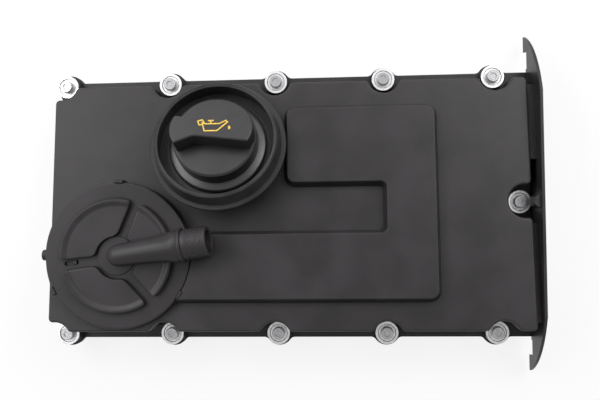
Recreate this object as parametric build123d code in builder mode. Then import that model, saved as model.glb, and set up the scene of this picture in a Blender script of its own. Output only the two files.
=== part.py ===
from build123d import *

import os
from math import cos, radians, sin

os.makedirs("parts", exist_ok=True)

# Frame: the origin is the middle of the bolt pattern on the sealing plane, +X
# points to the timing end, +Y across the cover and +Z out of the engine.

# Bolt pattern
BOLT_PITCH = 88.0
BOLT_COLUMNS = 5
ROW_SPACING = 206.0
END_BOLT_IN = 5.0
END_BOLT_Y = 1.5

# Flange and bolt bosses
FLANGE_T = 6.0
FLANGE_PAST_ROWS = 4.5
FLANGE_PAST_END = 8.0
FLANGE_INNER = 6.0
LOBE_R = 11.0
LOBE_BLEND = 5.0
BOSS_R = 9.8
BOSS_TOP = 11.0

# Moulded body under the leaning deck
BODY_PAST_WEST = 5.0
BODY_PAST_EAST = 24.5
BODY_IN_NORTH = 3.0
BODY_IN_SOUTH = 5.5
WALL = 3.0
DECK_T = 3.0
DECK_HEIGHT = 36.3
DECK_LEAN = 5.25
DECK_EDGE_R = 1.8
POCKET_R = 13.0
POCKET_BLEND = 3.5

# Raised gas passage on the deck, shaped like a C that opens west
PASSAGE_H = 9.0
PASSAGE_TAPER = 17.0
PASSAGE_EAST = 129.0
PASSAGE_NORTH = 80.0
PASSAGE_SOUTH = 75.5
PASSAGE_WEST = 8.0
NOTCH_EAST = 85.5
NOTCH_NORTH = 15.2
NOTCH_SOUTH = 19.5
PASSAGE_CORNER_R = 9.0
NOTCH_CORNER_R = 2.0
PASSAGE_EDGE_R = 1.0
PASSAGE_WALL = 6.3
PASSAGE_SKIN = 2.5
PASSAGE_LAP = 12.0

# Breather drum, its cover and the pressure regulator inside
DRUM_X = -122.6
DRUM_Y = -37.0
CHAMBER_R = 49.5
CLAMP_W = 3.5
DRUM_WALL = 4.0
CHAMBER_FLOOR = 24.0
CLAMP_Z = 36.0
DRUM_TOP = 47.0
BULGE_PAST = 5.5
BULGE_HALF = 45.0
COVER_PAST = 0.5
COVER_RIM_T = 4.0
COVER_SKIN = 2.5
SECTOR_IN = 6.5
SECTOR_DEPTH = 4.5
SECTOR_RUN = 6.0
SECTOR_CORNER_R = 4.0
RIB_W = 7.0
RIB_ANGLES = (73.0, 303.0)
KEY_ANGLE = 188.5
HUB_R = 17.6
HUB_STEP_R = 14.9
HUB_STEP_H = 1.2
CLIP_COUNT = 3
CLIP_START = 88.0
CLIP_W = 7.0
CLIP_T = 1.6
CLIP_ROOT = 6.0
CLIP_NOSE = 1.2
KEY_FROM = 31.0
KEY_TO = 42.5
KEY_W = 3.6
KEY_DEPTH = 2.0
KEY_PIN_AT = 33.5
KEY_PIN_R = 1.5
KEY_PIN_H = 3.0
SEAL_W = 1.8
SEAL_T = 1.6
COVER_EDGE_R = 1.0
SKIRT_T = 2.5
WINDOW_H = 5.0
WINDOW_RISE = 2.2
WINDOW_SIDE = 6.3

# Breather pipe on the cover
PIPE_ANGLE = 8.3
PIPE_RISE = 4.5
PIPE_Z = 59.5
PIPE_ROOT_R = 8.6
PIPE_END_R = 10.8
PIPE_WALL = 2.4
PIPE_BACK = 4.5
PIPE_WEB = 12.0
BEAD_AT = 50.0
BEAD_R = 12.4
BEAD_W = 3.4
SPIGOT_R = 11.6
SPIGOT_L = 22.0
SPIGOT_BORE_R = 9.0
SPIGOT_BORE_L = 20.0
MOUTH_Z = 39.6

# Regulator parts
DIAPHRAGM_T = 1.0
ROLL_W = 6.0
ROLL_DROP = 4.0
BEAD_GRIP = 2.0
PLATE_R = 22.0
PLATE_T = 2.0
PLATE_PIN_R = 3.0
PLATE_PIN_L = 8.0
GUIDE_R = 7.0
GUIDE_H = 6.5
SPRING_R = 14.0
SPRING_WIRE = 1.3
SPRING_TURNS = 1.75

# Oil filler: its axis leans north, and heights along it count from the collar ring
NECK_X = -42.6
NECK_Y = 48.4
NECK_Z = 49.3
NECK_LEAN = 17.5
NECK_R = 41.6
NECK_WALL = 3.0
NECK_TOP = -4.5
NECK_PLATE_T = 4.5
FILLER_HOLE_IN = 17.6
LUG_PAST = 3.5
LUG_T = 3.2
LUG_ARC = 44.0
SLOT_ARC = 56.0

# Rubber collar round the filler
COLLAR_SPREAD = 8.4
COLLAR_RING_W = 3.5
COLLAR_RING_T = 2.6
COLLAR_DRAW = 2.0
COLLAR_LIP_S = 12.0
COLLAR_WALL = 2.8
COLLAR_SINK = 6.7
COLLAR_ROOT_W = 5.6
LIP_BEAD = 0.6

# Filler cap
CAP_GAP = 0.6
CAP_FLANGE_IN = 3.4
CAP_FLANGE_T = 3.6
CAP_STEP = 5.9
CAP_TOP = 16.0
GRIP_H = 15.5
GRIP_TURN = -2.5
GRIP_END = (31.2, 0.0)
GRIP_TAIL = (28.0, 9.6)
GRIP_WAIST = (12.8, 6.4)
GRIP_NOSE = (26.8, 12.6)
GRIP_BEND_R = 12.0
GRIP_CORNER_R = 2.4
CAP_EDGE_R = 1.4
CORE_PAST = 1.0
CORE_H = 14.0
CORE_STEM_IN = 3.0
CORE_WALL = 3.0
CAP_SEAL_IN = 5.2
CAP_SEAL_W = 3.6
CAP_SEAL_T = 2.0

# Timing end arch
ARCH_OUT = 7.6
ARCH_T = 2.2
ARCH_TOP = 44.0
ARCH_FLAT = 87.0
ARCH_NORTH = 139.8
ARCH_SOUTH = 137.5
ARCH_BULGE = 0.61
EAR_DROP = 8.0
EAR_HOOK = 13.0
EAR_ARM = 3.0
EAR_INNER = 111.0
LEDGE_T = 3.0
LEDGES = ((35.0, 95.0, 3.5), (-92.0, -15.0, 8.0))
STOP_R = 5.2
STOP_LOW = 24.0

# Bolts and the parts on them
BOLT_R = 3.0
BOLT_REACH = 15.0
BOLT_POINT = 0.6
SHANK_R = 2.6
HEAD_R = 5.0
HEAD_H = 4.8
HEAD_CHAMFER = 0.4
SOCKET_AF = 4.6
SOCKET_DEPTH = 3.2
SLEEVE_R = 4.8
GROMMET_R = 7.4
GROMMET_LIP = 1.6
WASHER_R = 9.2
WASHER_T = 1.2
WASHER_RIM = 1.0

# Gasket and separator baffle
GASKET_INSET = 0.6
GASKET_W = 4.0
GASKET_T = 3.4
BAFFLE_T = 2.0
SCREW_R = 1.4
SCREW_BITE = 5.0
SCREW_HEAD_R = 3.2
SCREW_HEAD_H = 2.0
INLET_L = 26.0
INLET_W = 5.0
DRAIN_STEM_R = 2.0
DRAIN_BULB_R = 3.0
DRAIN_BULB_H = 4.0
DRAIN_R = 8.0
DRAIN_T = 1.2
DRAIN_HOLE_COUNT = 4
DRAIN_HOLE_R = 1.2
DRAIN_HOLES_R = 4.8
DRAIN_FROM_EAST = 24.0
DRAIN_FROM_WALL = 12.0
VENT_R = 4.4
VENT_STEM_R = 3.4
VENT_BORE_R = 2.0
VENT_OUT = 5.6

# Clearances, and the slant of small noses, heads and rims in degrees
FIT = 0.2
RUN = 0.4
SLANT = 25.0

# Places worked out from the sizes above
HALF_PATTERN = BOLT_PITCH * (BOLT_COLUMNS - 1) / 2
ROW_Y = ROW_SPACING / 2
COLUMN_X = [i * BOLT_PITCH - HALF_PATTERN for i in range(BOLT_COLUMNS)]
BODY_WEST = HALF_PATTERN + BODY_PAST_WEST
BODY_EAST = HALF_PATTERN + BODY_PAST_EAST
BODY_NORTH = ROW_Y - BODY_IN_NORTH
BODY_SOUTH = ROW_Y - BODY_IN_SOUTH
END_BOLT = (BODY_EAST - END_BOLT_IN, END_BOLT_Y)
BOLTS = [(x, side * ROW_Y) for side in (1, -1) for x in COLUMN_X] + [END_BOLT]
ARCH_FACE = BODY_EAST + ARCH_OUT
DECK = Plane(
    origin=(0, 0, DECK_HEIGHT),
    x_dir=(1, 0, 0),
    z_dir=(0, sin(radians(DECK_LEAN)), cos(radians(DECK_LEAN))),
)
UNDERDECK = DECK.offset(-DECK_T)
DRUM = (DRUM_X, DRUM_Y)
DRUM_BORE_R = CHAMBER_R + CLAMP_W
DRUM_R = DRUM_BORE_R + DRUM_WALL
BULGE_R = DRUM_R + BULGE_PAST
COVER_R = DRUM_R + COVER_PAST
SECTOR_R = DRUM_BORE_R - SECTOR_IN
COVER_TOP = DRUM_TOP + COVER_RIM_T
NECK = Plane(
    origin=(NECK_X, NECK_Y, NECK_Z),
    x_dir=(1, 0, 0),
    z_dir=(0, sin(radians(NECK_LEAN)), cos(radians(NECK_LEAN))),
)
NECK_PLATE_LOW = NECK_TOP - NECK_PLATE_T
NECK_SPAN = NECK_Z - FLANGE_T - NECK_R * sin(radians(NECK_LEAN))
NECK_DEPTH = NECK_SPAN / cos(radians(NECK_LEAN)) + NECK_TOP
FILLER_HOLE_R = NECK_R - FILLER_HOLE_IN
LUG_R = FILLER_HOLE_R + LUG_PAST
CORE_STEM_R = FILLER_HOLE_R - CORE_STEM_IN
CORE_R = FILLER_HOLE_R + CORE_PAST
CAP_FLANGE_R = NECK_R - CAP_FLANGE_IN
CAP_R = CAP_FLANGE_R - CAP_STEP
CAP_SEAL_R = CAP_FLANGE_R - CAP_SEAL_IN
COLLAR_FOOT_R = NECK_R + COLLAR_SPREAD
COLLAR_RING_R = COLLAR_FOOT_R + COLLAR_RING_W
COLLAR_LIP_R = COLLAR_FOOT_R - COLLAR_DRAW
COLLAR_ROOT_R = NECK_R + COLLAR_ROOT_W
CAP_LOW = NECK_TOP + CAP_GAP
CAP_SEAL_LOW = NECK_TOP + FIT
SLEEVE_TOP = BOSS_TOP + GROMMET_LIP
WASHER_TOP = SLEEVE_TOP + WASHER_T
SECTOR_FLOOR = COVER_TOP - SECTOR_DEPTH
COVER_LOW = SECTOR_FLOOR - COVER_SKIN
CLAMP_TOP = CLAMP_Z + DIAPHRAGM_T
PLATE_LOW = CLAMP_Z - PLATE_T
ROLL_OUTER = CHAMBER_R - ROLL_W / 2
ROLL_INNER = PLATE_R + BEAD_GRIP + ROLL_W / 2
ROLL_LOW = CLAMP_Z - ROLL_DROP
SPRING_LOW = CLAMP_Z + SPRING_WIRE / 2
SPRING_L = COVER_LOW - CLAMP_Z - SPRING_WIRE
PIPE_TURN, PIPE_TILT = radians(PIPE_ANGLE), radians(PIPE_RISE)
PIPE_ALONG = (
    cos(PIPE_TILT) * cos(PIPE_TURN),
    cos(PIPE_TILT) * sin(PIPE_TURN),
    sin(PIPE_TILT),
)
PIPE = Plane(
    origin=(DRUM_X, DRUM_Y, PIPE_Z),
    x_dir=(-sin(PIPE_TURN), cos(PIPE_TURN), 0),
    z_dir=PIPE_ALONG,
)
ROOT_AT = PIPE_ROOT_R - PIPE_BACK
MOUTH = (DRUM_X + ROOT_AT * PIPE_ALONG[0], DRUM_Y + ROOT_AT * PIPE_ALONG[1])
TALL = 3 * DECK_HEIGHT
SEAL_MID_R = (DRUM_BORE_R + DRUM_R) / 2
CLIP_TURNS = [CLIP_START + i * 360 / CLIP_COUNT for i in range(CLIP_COUNT)]
VENT_Z = (CHAMBER_FLOOR + CLAMP_Z) / 2
VENT = Plane(origin=(DRUM_X - BULGE_R, DRUM_Y, VENT_Z), x_dir=(0, -1, 0), z_dir=(-1, 0, 0))
WINDOW_Y = -(PASSAGE_SOUTH + NOTCH_SOUTH) / 2
WINDOW_W = PASSAGE_SOUTH - NOTCH_SOUTH - 2 * (PASSAGE_WALL + WINDOW_SIDE)
WINDOW_L = 2 * (DRUM_R - DRUM_BORE_R) + WINDOW_W / 2
WINDOW = Plane(
    origin=(DRUM_X + DRUM_R - WINDOW_L, WINDOW_Y, CLAMP_Z + WINDOW_RISE + WINDOW_H / 2),
    x_dir=(0, 1, 0),
    z_dir=(1, 0, 0),
)
EDGE = PASSAGE_WALL / 2
ARM_Y = (PASSAGE_NORTH + NOTCH_NORTH) / 2
SCREWS = (
    (PASSAGE_EAST - EDGE, ARM_Y),
    (PASSAGE_EAST - EDGE, -ARM_Y),
    (PASSAGE_EAST / 2, PASSAGE_NORTH - EDGE),
    (PASSAGE_EAST / 2, EDGE - PASSAGE_SOUTH),
    (PASSAGE_WEST + EDGE, ARM_Y),
    (NOTCH_EAST / 2, NOTCH_NORTH + EDGE),
    (0, -NOTCH_SOUTH - EDGE),
)
INLETS = [(PASSAGE_WEST + INLET_L, ARM_Y + i * 2 * INLET_W) for i in (-1, 0, 1)]
DRAIN = (PASSAGE_EAST - DRAIN_FROM_EAST, PASSAGE_NORTH - PASSAGE_WALL - DRAIN_FROM_WALL)


def upright(level, at=(0, 0)):
    """Horizontal plane at a height, with its origin over a point."""
    return Plane(origin=(at[0], at[1], level))


def wedge(radius, middle, arc):
    """Pie slice about the sketch's origin."""
    with BuildSketch() as slice_shape:
        with BuildLine():
            rim = CenterArc((0, 0), radius, middle - arc / 2, arc)
            Line((0, 0), rim @ 0)
            Line((0, 0), rim @ 1)
        make_face()
    return slice_shape.sketch


def turned(place, *profile):
    """Body of revolution about a plane's normal, from (radius, height) points."""
    side = Plane(origin=place.origin, x_dir=place.x_dir, z_dir=-place.y_dir)
    with BuildPart() as body:
        with BuildSketch(side):
            with BuildLine():
                Polyline(*profile, close=True)
            make_face()
        revolve(axis=Axis(place.origin, place.z_dir))
    return body.part


def drum_bulge():
    """Part of the drum's round that stands out of the west wall."""
    with BuildSketch() as bulge:
        with Locations(DRUM):
            Circle(BULGE_R)
        with Locations((DRUM_X - BULGE_R, DRUM_Y)):
            Rectangle(2 * BULGE_R, 2 * BULGE_HALF, mode=Mode.INTERSECT)
    return bulge.sketch


def body_outline(bulge, grow=0.0):
    """Deck outline: a rectangle with bolt pockets and the drum's bulge."""
    with BuildSketch() as outline:
        with Locations(((BODY_EAST - BODY_WEST) / 2, (BODY_NORTH - BODY_SOUTH) / 2)):
            Rectangle(BODY_EAST + BODY_WEST, BODY_NORTH + BODY_SOUTH)
        add(bulge)
        with Locations(*BOLTS):
            Circle(POCKET_R, mode=Mode.SUBTRACT)
        fillet(outline.vertices(), POCKET_BLEND)
        if grow:
            offset(amount=grow, kind=Kind.INTERSECTION)
    return outline.sketch


def flange_outline():
    """Sealing flange with a lobe round each bolt, out to the arch face."""
    west = HALF_PATTERN + FLANGE_PAST_END
    with BuildSketch() as outline:
        with Locations(((ARCH_FACE - west) / 2, 0)):
            Rectangle(ARCH_FACE + west, 2 * (ROW_Y + FLANGE_PAST_ROWS))
        with Locations(*BOLTS[:-1]):
            Circle(LOBE_R)
        corners = outline.vertices().filter_by(lambda v: abs(v.X - ARCH_FACE) > FIT)
        fillet(corners, LOBE_BLEND)
    return outline.sketch


def passage_outline(inset=0.0):
    """C-shaped outline of the raised passage, in the deck's own plane."""
    low_west = DRUM_X + CHAMBER_R - PASSAGE_LAP
    corners = (
        (PASSAGE_WEST, NOTCH_NORTH),
        (NOTCH_EAST, NOTCH_NORTH),
        (NOTCH_EAST, -NOTCH_SOUTH),
        (low_west, -NOTCH_SOUTH),
        (low_west, -PASSAGE_SOUTH),
        (PASSAGE_EAST, -PASSAGE_SOUTH),
        (PASSAGE_EAST, PASSAGE_NORTH),
        (PASSAGE_WEST, PASSAGE_NORTH),
    )
    outer = (PASSAGE_WEST, PASSAGE_EAST)
    with BuildSketch() as outline:
        with BuildLine():
            Polyline(*corners, close=True)
        make_face()
        fillet(
            outline.vertices().filter_by(lambda v: min(abs(v.X - x) for x in outer) < FIT),
            PASSAGE_CORNER_R,
        )
        fillet(
            outline.vertices().filter_by(lambda v: abs(v.X - NOTCH_EAST) < FIT),
            NOTCH_CORNER_R,
        )
        if inset:
            offset(amount=-inset, kind=Kind.INTERSECTION)
    return outline.sketch


# Outlines that several pieces share
bulge_shape = drum_bulge()
deck_shape = body_outline(bulge_shape)
cavity_mouth = body_outline(bulge_shape, -FLANGE_INNER)
cavity_shape = body_outline(bulge_shape, -WALL)
flange_shape = flange_outline()
passage_shape = passage_outline()
hollow_shape = passage_outline(PASSAGE_WALL)
groove_outer = body_outline(bulge_shape, -GASKET_INSET)
groove_inner = body_outline(bulge_shape, -GASKET_INSET - GASKET_W)

# Walls of the housing, cut off by the leaning deck
with BuildPart() as walls:
    with BuildSketch():
        add(deck_shape)
    extrude(amount=TALL)
    split(bisect_by=DECK, keep=Keep.BOTTOM)
    deck_face = walls.faces().sort_by(Axis.Z)[-1]
    fillet(deck_face.outer_wire().edges(), DECK_EDGE_R)

# Raised passage, with room for the round breather cover
with BuildPart() as passage:
    with BuildSketch(DECK):
        add(passage_shape)
    extrude(amount=PASSAGE_H, taper=PASSAGE_TAPER)
    crown = passage.faces().sort_by(SortBy.AREA)[-2:].sort_by(Axis.Z)[-1]
    fillet(crown.outer_wire().edges(), PASSAGE_EDGE_R)
    with BuildSketch(DECK):
        add(passage_shape)
    extrude(amount=-DECK_T)
    with BuildSketch(upright(DRUM_TOP, DRUM)):
        Circle(COVER_R + RUN)
    extrude(amount=TALL, mode=Mode.SUBTRACT)

# Everything under the deck skin that stays empty
with BuildPart() as cavity:
    with BuildSketch():
        add(cavity_mouth)
    extrude(amount=FLANGE_T)
    with BuildSketch(Plane.XY.offset(FLANGE_T)):
        add(cavity_shape)
    extrude(amount=TALL)
    split(bisect_by=UNDERDECK, keep=Keep.BOTTOM)

# Arch plate at the timing end, with an ear past each side of the flange
with BuildPart() as arch:
    arch_plane = Plane(origin=(ARCH_FACE, 0, 0), x_dir=(0, 1, 0), z_dir=(1, 0, 0))
    shoulder_z = -EAR_DROP + (ARCH_TOP + EAR_DROP) * ARCH_BULGE
    with BuildSketch(arch_plane):
        with BuildLine():
            Line((-ARCH_FLAT, ARCH_TOP), (ARCH_FLAT, ARCH_TOP))
            for side, reach in ((1, ARCH_NORTH), (-1, ARCH_SOUTH)):
                flat_end = (side * ARCH_FLAT, ARCH_TOP)
                shoulder_y = ARCH_FLAT + (reach - ARCH_FLAT) * ARCH_BULGE
                tip = (side * reach, -EAR_DROP)
                ThreePointArc(flat_end, (side * shoulder_y, shoulder_z), tip)
                hook = side * (reach - EAR_HOOK)
                arm = side * EAR_INNER
                Polyline(tip, (hook, -EAR_DROP), (hook, EAR_ARM), (arm, EAR_ARM), (arm, 0))
            Line((-EAR_INNER, 0), (EAR_INNER, 0))
        make_face()
    extrude(amount=-ARCH_T)
    with BuildSketch(upright(STOP_LOW, (ARCH_FACE - ARCH_T, END_BOLT_Y))):
        Circle(STOP_R)
        with Locations((STOP_R / 2, 0)):
            Rectangle(STOP_R, 2 * STOP_R, mode=Mode.SUBTRACT)
    extrude(amount=ARCH_TOP - STOP_LOW - LEDGE_T)
    for low, high, drop in LEDGES:
        with BuildSketch(DECK.offset(-drop)):
            with Locations((BODY_EAST + (ARCH_OUT - ARCH_T) / 2, (low + high) / 2)):
                Rectangle(ARCH_OUT - ARCH_T + WALL, high - low)
        extrude(amount=-LEDGE_T)

# Cover housing: one moulding of flange, walls, leaning deck, passage, drum, neck and arch
with BuildPart() as housing:
    with BuildSketch():
        add(flange_shape)
    extrude(amount=FLANGE_T)
    add(walls.part)
    add(passage.part)
    add(arch.part)
    with BuildSketch():
        with Locations(*BOLTS):
            Circle(BOSS_R)
    extrude(amount=BOSS_TOP)
    with BuildSketch(NECK.offset(NECK_TOP)):
        Circle(NECK_R)
    extrude(amount=-NECK_DEPTH)
    add(cavity.part, mode=Mode.SUBTRACT)

    # Filler throat under the neck's top plate, and the bayonet hole through that plate
    with BuildSketch(NECK.offset(NECK_PLATE_LOW)):
        Circle(NECK_R - NECK_WALL)
    extrude(amount=-NECK_DEPTH, mode=Mode.SUBTRACT)
    with BuildSketch(NECK.offset(NECK_TOP)):
        Circle(FILLER_HOLE_R)
        for middle in (90, 270):
            add(wedge(LUG_R + RUN, middle, SLOT_ARC))
    extrude(amount=-NECK_PLATE_T, mode=Mode.SUBTRACT)

    # Gas passage inside the raised C
    with BuildSketch(UNDERDECK):
        add(hollow_shape)
    extrude(amount=DECK_T + PASSAGE_H - PASSAGE_SKIN, mode=Mode.SUBTRACT)
    with BuildSketch(UNDERDECK):
        with Locations(*SCREWS):
            Circle(SCREW_R)
    extrude(amount=SCREW_BITE, mode=Mode.SUBTRACT)

    # Breather drum: a pot let into the deck, open at the top
    with BuildSketch(upright(CHAMBER_FLOOR - WALL, DRUM)):
        Circle(DRUM_R)
    extrude(amount=DRUM_TOP - CHAMBER_FLOOR + WALL)
    with BuildSketch(VENT):
        Circle(VENT_R + FIT)
    extrude(amount=-(BULGE_R - CHAMBER_R))
    with BuildSketch(upright(CHAMBER_FLOOR, DRUM)):
        Circle(CHAMBER_R)
    extrude(amount=CLAMP_Z - CHAMBER_FLOOR, mode=Mode.SUBTRACT)
    with BuildSketch(upright(CLAMP_Z, DRUM)):
        Circle(DRUM_BORE_R)
    extrude(amount=TALL, mode=Mode.SUBTRACT)
    with BuildSketch(upright(DRUM_TOP, DRUM)):
        Circle(SEAL_MID_R + SEAL_W / 2)
        Circle(SEAL_MID_R - SEAL_W / 2, mode=Mode.SUBTRACT)
    extrude(amount=-SEAL_T, mode=Mode.SUBTRACT)
    with BuildSketch(upright(CHAMBER_FLOOR, DRUM)):
        Circle(GUIDE_R)
        Circle(PLATE_PIN_R + FIT, mode=Mode.SUBTRACT)
    extrude(amount=GUIDE_H)
    with BuildSketch(WINDOW):
        Rectangle(WINDOW_W, WINDOW_H)
    extrude(amount=WINDOW_L, mode=Mode.SUBTRACT)
    with BuildSketch(VENT):
        Circle(VENT_STEM_R)
    extrude(amount=-(BULGE_R - CHAMBER_R + WALL), mode=Mode.SUBTRACT)

    # Snap hooks that hold the round cover
    with BuildSketch(upright(DRUM_TOP - CLIP_ROOT, DRUM)):
        for turn in CLIP_TURNS:
            with PolarLocations(DRUM_R + CLIP_T / 2, 1, start_angle=turn):
                Rectangle(CLIP_T + 2 * FIT, CLIP_W)
    extrude(amount=CLIP_ROOT)
    with BuildSketch(upright(DRUM_TOP, DRUM)):
        for turn in CLIP_TURNS:
            with PolarLocations(COVER_R + FIT + CLIP_T / 2, 1, start_angle=turn):
                Rectangle(CLIP_T, CLIP_W)
    extrude(amount=COVER_RIM_T + FIT)
    with BuildSketch(upright(COVER_TOP + FIT, DRUM)):
        for turn in CLIP_TURNS:
            with PolarLocations(COVER_R + FIT + CLIP_T / 2 - CLIP_NOSE / 2, 1, start_angle=turn):
                Rectangle(CLIP_T + CLIP_NOSE, CLIP_W)
    extrude(amount=CLIP_NOSE, taper=SLANT)

    # Grommet holes and the gasket groove
    with BuildSketch():
        with Locations(*BOLTS):
            Circle(GROMMET_R)
    extrude(amount=BOSS_TOP, mode=Mode.SUBTRACT)
    with BuildSketch():
        add(groove_outer)
        add(groove_inner, mode=Mode.SUBTRACT)
    extrude(amount=GASKET_T, mode=Mode.SUBTRACT)

# Moulded rubber gasket, pressed into its groove
with BuildPart() as gasket:
    with BuildSketch():
        add(groove_outer)
        add(groove_inner, mode=Mode.SUBTRACT)
    extrude(amount=GASKET_T)

# Separator baffle that closes the passage from below
with BuildPart() as baffle:
    with BuildSketch(UNDERDECK):
        add(passage_shape)
        with Locations(*SCREWS):
            Circle(SCREW_R + FIT, mode=Mode.SUBTRACT)
        with Locations(*INLETS):
            SlotOverall(INLET_L, INLET_W, mode=Mode.SUBTRACT)
        with Locations(DRAIN):
            Circle(DRAIN_STEM_R, mode=Mode.SUBTRACT)
            with PolarLocations(DRAIN_HOLES_R, DRAIN_HOLE_COUNT):
                Circle(DRAIN_HOLE_R, mode=Mode.SUBTRACT)
    extrude(amount=-BAFFLE_T)
    with BuildSketch(upright(0, DRUM)):
        Circle(DRUM_R + RUN)
    extrude(amount=TALL, mode=Mode.SUBTRACT)

with BuildPart() as baffle_screws:
    with BuildSketch(UNDERDECK.offset(SCREW_BITE - FIT)):
        with Locations(*SCREWS):
            Circle(SCREW_R)
    extrude(amount=-(SCREW_BITE - FIT + BAFFLE_T))
    with BuildSketch(UNDERDECK.offset(-BAFFLE_T)):
        with Locations(*SCREWS):
            Circle(SCREW_HEAD_R)
    extrude(amount=-SCREW_HEAD_H, taper=SLANT)

# Rubber umbrella valve that lets separated oil drain back
with BuildPart() as drain_valve:
    with BuildSketch(UNDERDECK):
        with Locations(DRAIN):
            Circle(DRAIN_STEM_R)
    extrude(amount=-BAFFLE_T)
    with BuildSketch(UNDERDECK):
        with Locations(DRAIN):
            Circle(DRAIN_BULB_R)
    extrude(amount=DRAIN_BULB_H, taper=SLANT)
    with BuildSketch(UNDERDECK.offset(-BAFFLE_T)):
        with Locations(DRAIN):
            Circle(DRAIN_R)
    extrude(amount=-DRAIN_T, taper=SLANT)

# Rubber collar that sits round the neck and seals against the engine trim
with BuildPart() as collar:
    add(
        turned(
            NECK,
            (NECK_R, NECK_TOP),
            (NECK_R, -COLLAR_SINK),
            (COLLAR_ROOT_R, -COLLAR_SINK),
            (COLLAR_ROOT_R, -COLLAR_RING_T),
            (COLLAR_RING_R - LIP_BEAD, -COLLAR_RING_T),
            (COLLAR_RING_R, -COLLAR_RING_T + LIP_BEAD),
            (COLLAR_RING_R, -LIP_BEAD),
            (COLLAR_RING_R - LIP_BEAD, 0),
            (COLLAR_FOOT_R, 0),
            (COLLAR_LIP_R - LIP_BEAD, COLLAR_LIP_S - 2 * LIP_BEAD),
            (COLLAR_LIP_R, COLLAR_LIP_S - LIP_BEAD),
            (COLLAR_LIP_R - LIP_BEAD, COLLAR_LIP_S),
            (COLLAR_LIP_R - COLLAR_WALL / 2, COLLAR_LIP_S - LIP_BEAD),
            (COLLAR_LIP_R - COLLAR_WALL, COLLAR_LIP_S),
            (COLLAR_LIP_R - COLLAR_WALL - LIP_BEAD, COLLAR_LIP_S - LIP_BEAD),
            (COLLAR_FOOT_R - COLLAR_WALL - LIP_BEAD, NECK_TOP),
        )
    )

# Filler cap: flange, round body and the S-shaped grip
with BuildPart() as cap:
    add(
        turned(
            NECK,
            (0, CAP_LOW + CORE_H),
            (CORE_R, CAP_LOW + CORE_H),
            (CORE_R, CAP_LOW),
            (CAP_SEAL_R - CAP_SEAL_W / 2, CAP_LOW),
            (CAP_SEAL_R - CAP_SEAL_W / 2, CAP_SEAL_LOW + CAP_SEAL_T),
            (CAP_SEAL_R + CAP_SEAL_W / 2, CAP_SEAL_LOW + CAP_SEAL_T),
            (CAP_SEAL_R + CAP_SEAL_W / 2, CAP_LOW),
            (CAP_FLANGE_R - CAP_EDGE_R, CAP_LOW),
            (CAP_FLANGE_R, CAP_LOW + CAP_EDGE_R),
            (CAP_FLANGE_R, CAP_LOW + CAP_FLANGE_T - CAP_EDGE_R / 2),
            (CAP_FLANGE_R - CAP_EDGE_R / 2, CAP_LOW + CAP_FLANGE_T),
            (CAP_R, CAP_LOW + CAP_FLANGE_T),
            (CAP_R, CAP_TOP - CAP_EDGE_R),
            (CAP_R - CAP_EDGE_R, CAP_TOP),
            (0, CAP_TOP),
        )
    )
    with BuildSketch(NECK.offset(CAP_TOP).rotated((0, 0, GRIP_TURN))):
        with BuildLine():
            for side in (1, -1):
                nose = (-side * GRIP_NOSE[0], -side * GRIP_NOSE[1])
                waist = (-side * GRIP_WAIST[0], -side * GRIP_WAIST[1])
                tail = (side * GRIP_TAIL[0], -side * GRIP_TAIL[1])
                end = (side * GRIP_END[0], side * GRIP_END[1])
                back = (side * GRIP_NOSE[0], side * GRIP_NOSE[1])
                Polyline(nose, waist, tail)
                ThreePointArc(tail, end, back)
        grip_face = make_face()
        bends = grip_face.vertices().sort_by(lambda v: abs(v.X))
        fillet(bends[:2], GRIP_BEND_R)
        corners = [v for v in grip_face.vertices() if abs(v.X) > GRIP_WAIST[0] + GRIP_BEND_R]
        fillet(corners, GRIP_CORNER_R)
    extrude(amount=GRIP_H)
    grip_top = cap.faces().sort_by(Axis(NECK.origin, NECK.z_dir))[-1]
    fillet(grip_top.edges(), CAP_EDGE_R)

# Bayonet core under the cap: its lugs turn under the neck's plate
with BuildPart() as bayonet:
    add(
        turned(
            NECK,
            (0, CAP_LOW + CORE_H),
            (CORE_R, CAP_LOW + CORE_H),
            (CORE_R, CAP_LOW),
            (CORE_STEM_R, CAP_LOW),
            (CORE_STEM_R, NECK_PLATE_LOW - FIT - LUG_T),
            (CORE_STEM_R - CORE_WALL, NECK_PLATE_LOW - FIT - LUG_T),
            (CORE_STEM_R - CORE_WALL, CAP_LOW + CORE_H - CORE_WALL),
            (0, CAP_LOW + CORE_H - CORE_WALL),
        )
    )
    with BuildSketch(NECK.offset(NECK_PLATE_LOW - FIT)):
        for middle in (0, 180):
            add(wedge(LUG_R, middle, LUG_ARC))
        Circle(CORE_STEM_R - CORE_WALL / 2, mode=Mode.SUBTRACT)
    extrude(amount=-LUG_T)

with BuildPart() as cap_seal:
    with BuildSketch(NECK.offset(CAP_SEAL_LOW)):
        Circle(CAP_SEAL_R + CAP_SEAL_W / 2)
        Circle(CAP_SEAL_R - CAP_SEAL_W / 2, mode=Mode.SUBTRACT)
    extrude(amount=CAP_SEAL_T)

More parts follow.
